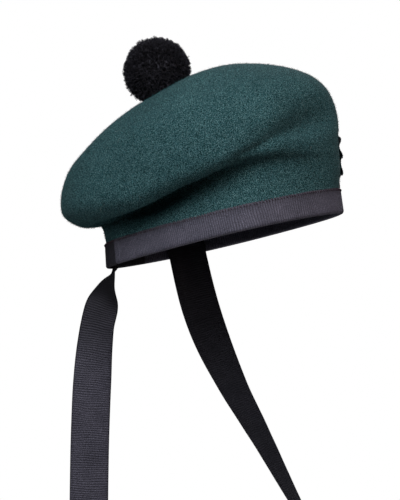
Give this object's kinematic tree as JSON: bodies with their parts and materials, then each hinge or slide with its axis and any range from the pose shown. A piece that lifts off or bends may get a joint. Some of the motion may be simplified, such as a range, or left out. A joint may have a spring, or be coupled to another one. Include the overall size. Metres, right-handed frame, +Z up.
{
  "type": "balmoral bonnet",
  "caption": "Soft felted bonnet with a full crown, ribbon headband, wool toorie, rosette cockade and hanging ribbon tails.",
  "frame": {"origin": "centre of the headband at its lower edge, where the bonnet sits on the head", "axes": "+Z up with the bonnet as it is worn, -Y the way the wearer faces, -X the wearer's right"},
  "size_m": [0.2257, 0.2392, 0.4051],
  "materials": {
    "felt": "milled wool felt, bottle green, matt with a short nap",
    "headband_ribbon": "black ribbed grosgrain, dull",
    "toorie_wool": "black cut wool pile",
    "cockade_ribbon": "black ribbed grosgrain, dull",
    "tail_ribbon": "black ribbed grosgrain, dull"
  },
  "bodies": {
    "root": {"felt_crown": "felt", "head_band": "headband_ribbon", "toorie": "toorie_wool", "cockade": "cockade_ribbon", "ribbon_right": "tail_ribbon", "ribbon_left": "tail_ribbon"}
  },
  "joints": []
}
